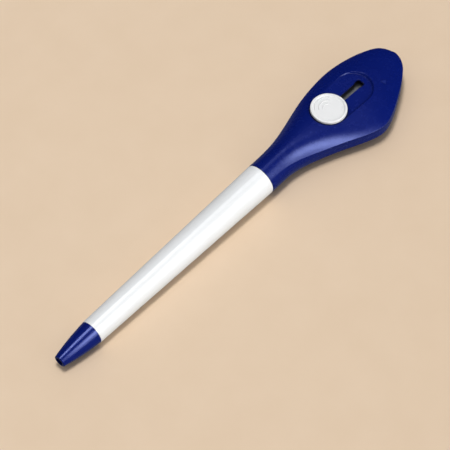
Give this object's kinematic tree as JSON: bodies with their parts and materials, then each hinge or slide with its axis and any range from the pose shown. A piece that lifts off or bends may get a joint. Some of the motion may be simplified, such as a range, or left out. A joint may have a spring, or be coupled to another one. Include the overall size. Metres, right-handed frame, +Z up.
{
  "type": "letter opener pen",
  "caption": "Twist ballpoint pen with a tapered barrel and a wide flat head, from which a round slide button pushes a letter opener blade",
  "frame": {"origin": "under the middle of the pen's outer box, on the surface that it lies on", "axes": "+X along the pen from the point's end to the head, +Y to the left seen from the point's end, +Z up through the slide button"},
  "size_m": [0.1552, 0.0276, 0.0117],
  "materials": {
    "navy_plastic": "glossy moulded navy plastic",
    "white_plastic": "glossy white plastic",
    "grey_plastic": "plain grey moulded plastic",
    "clear_plastic": "milky refill tube",
    "ink": "dark writing paste",
    "brass": "turned brass",
    "steel": "bright steel"
  },
  "bodies": {
    "barrel": {"barrel": "white_plastic", "nose_cone": "navy_plastic", "guide_sleeve": "grey_plastic", "twist_washer": "steel", "return_spring": "steel"},
    "head": {"head_upper_shell": "navy_plastic", "head_lower_shell": "navy_plastic", "neck_spigot": "grey_plastic", "cam_tube": "grey_plastic"},
    "refill": {"cam_follower": "grey_plastic", "refill_tube": "clear_plastic", "tip_holder": "grey_plastic", "refill_tip": "brass", "writing_ball": "steel", "ink_column": "ink"},
    "opener": {"slide_button": "white_plastic", "blade_carrier": "grey_plastic", "opener_blade": "steel"}
  },
  "joints": [
    {"name": "head_twist", "type": "hinge", "parent": "barrel", "child": "head", "pos_m": [0.01204, 0.00237, 0.00544], "axis": [0.9998, 0, 0.0181], "range_deg": [0, 180]},
    {"name": "refill_feed", "type": "slide", "parent": "barrel", "child": "refill", "axis": [0.9998, 0, 0.0181], "range_m": [-0.006, 0], "deforming": ["return_spring"]},
    {"name": "blade_slide", "type": "slide", "parent": "head", "child": "opener", "axis": [0.9996, 0, -0.0273], "range_m": [0, 0.012]}
  ],
  "couplings": [
    {"joint": "refill_feed", "follows": "head_twist", "m_per_rad": -0.0019099}
  ]
}
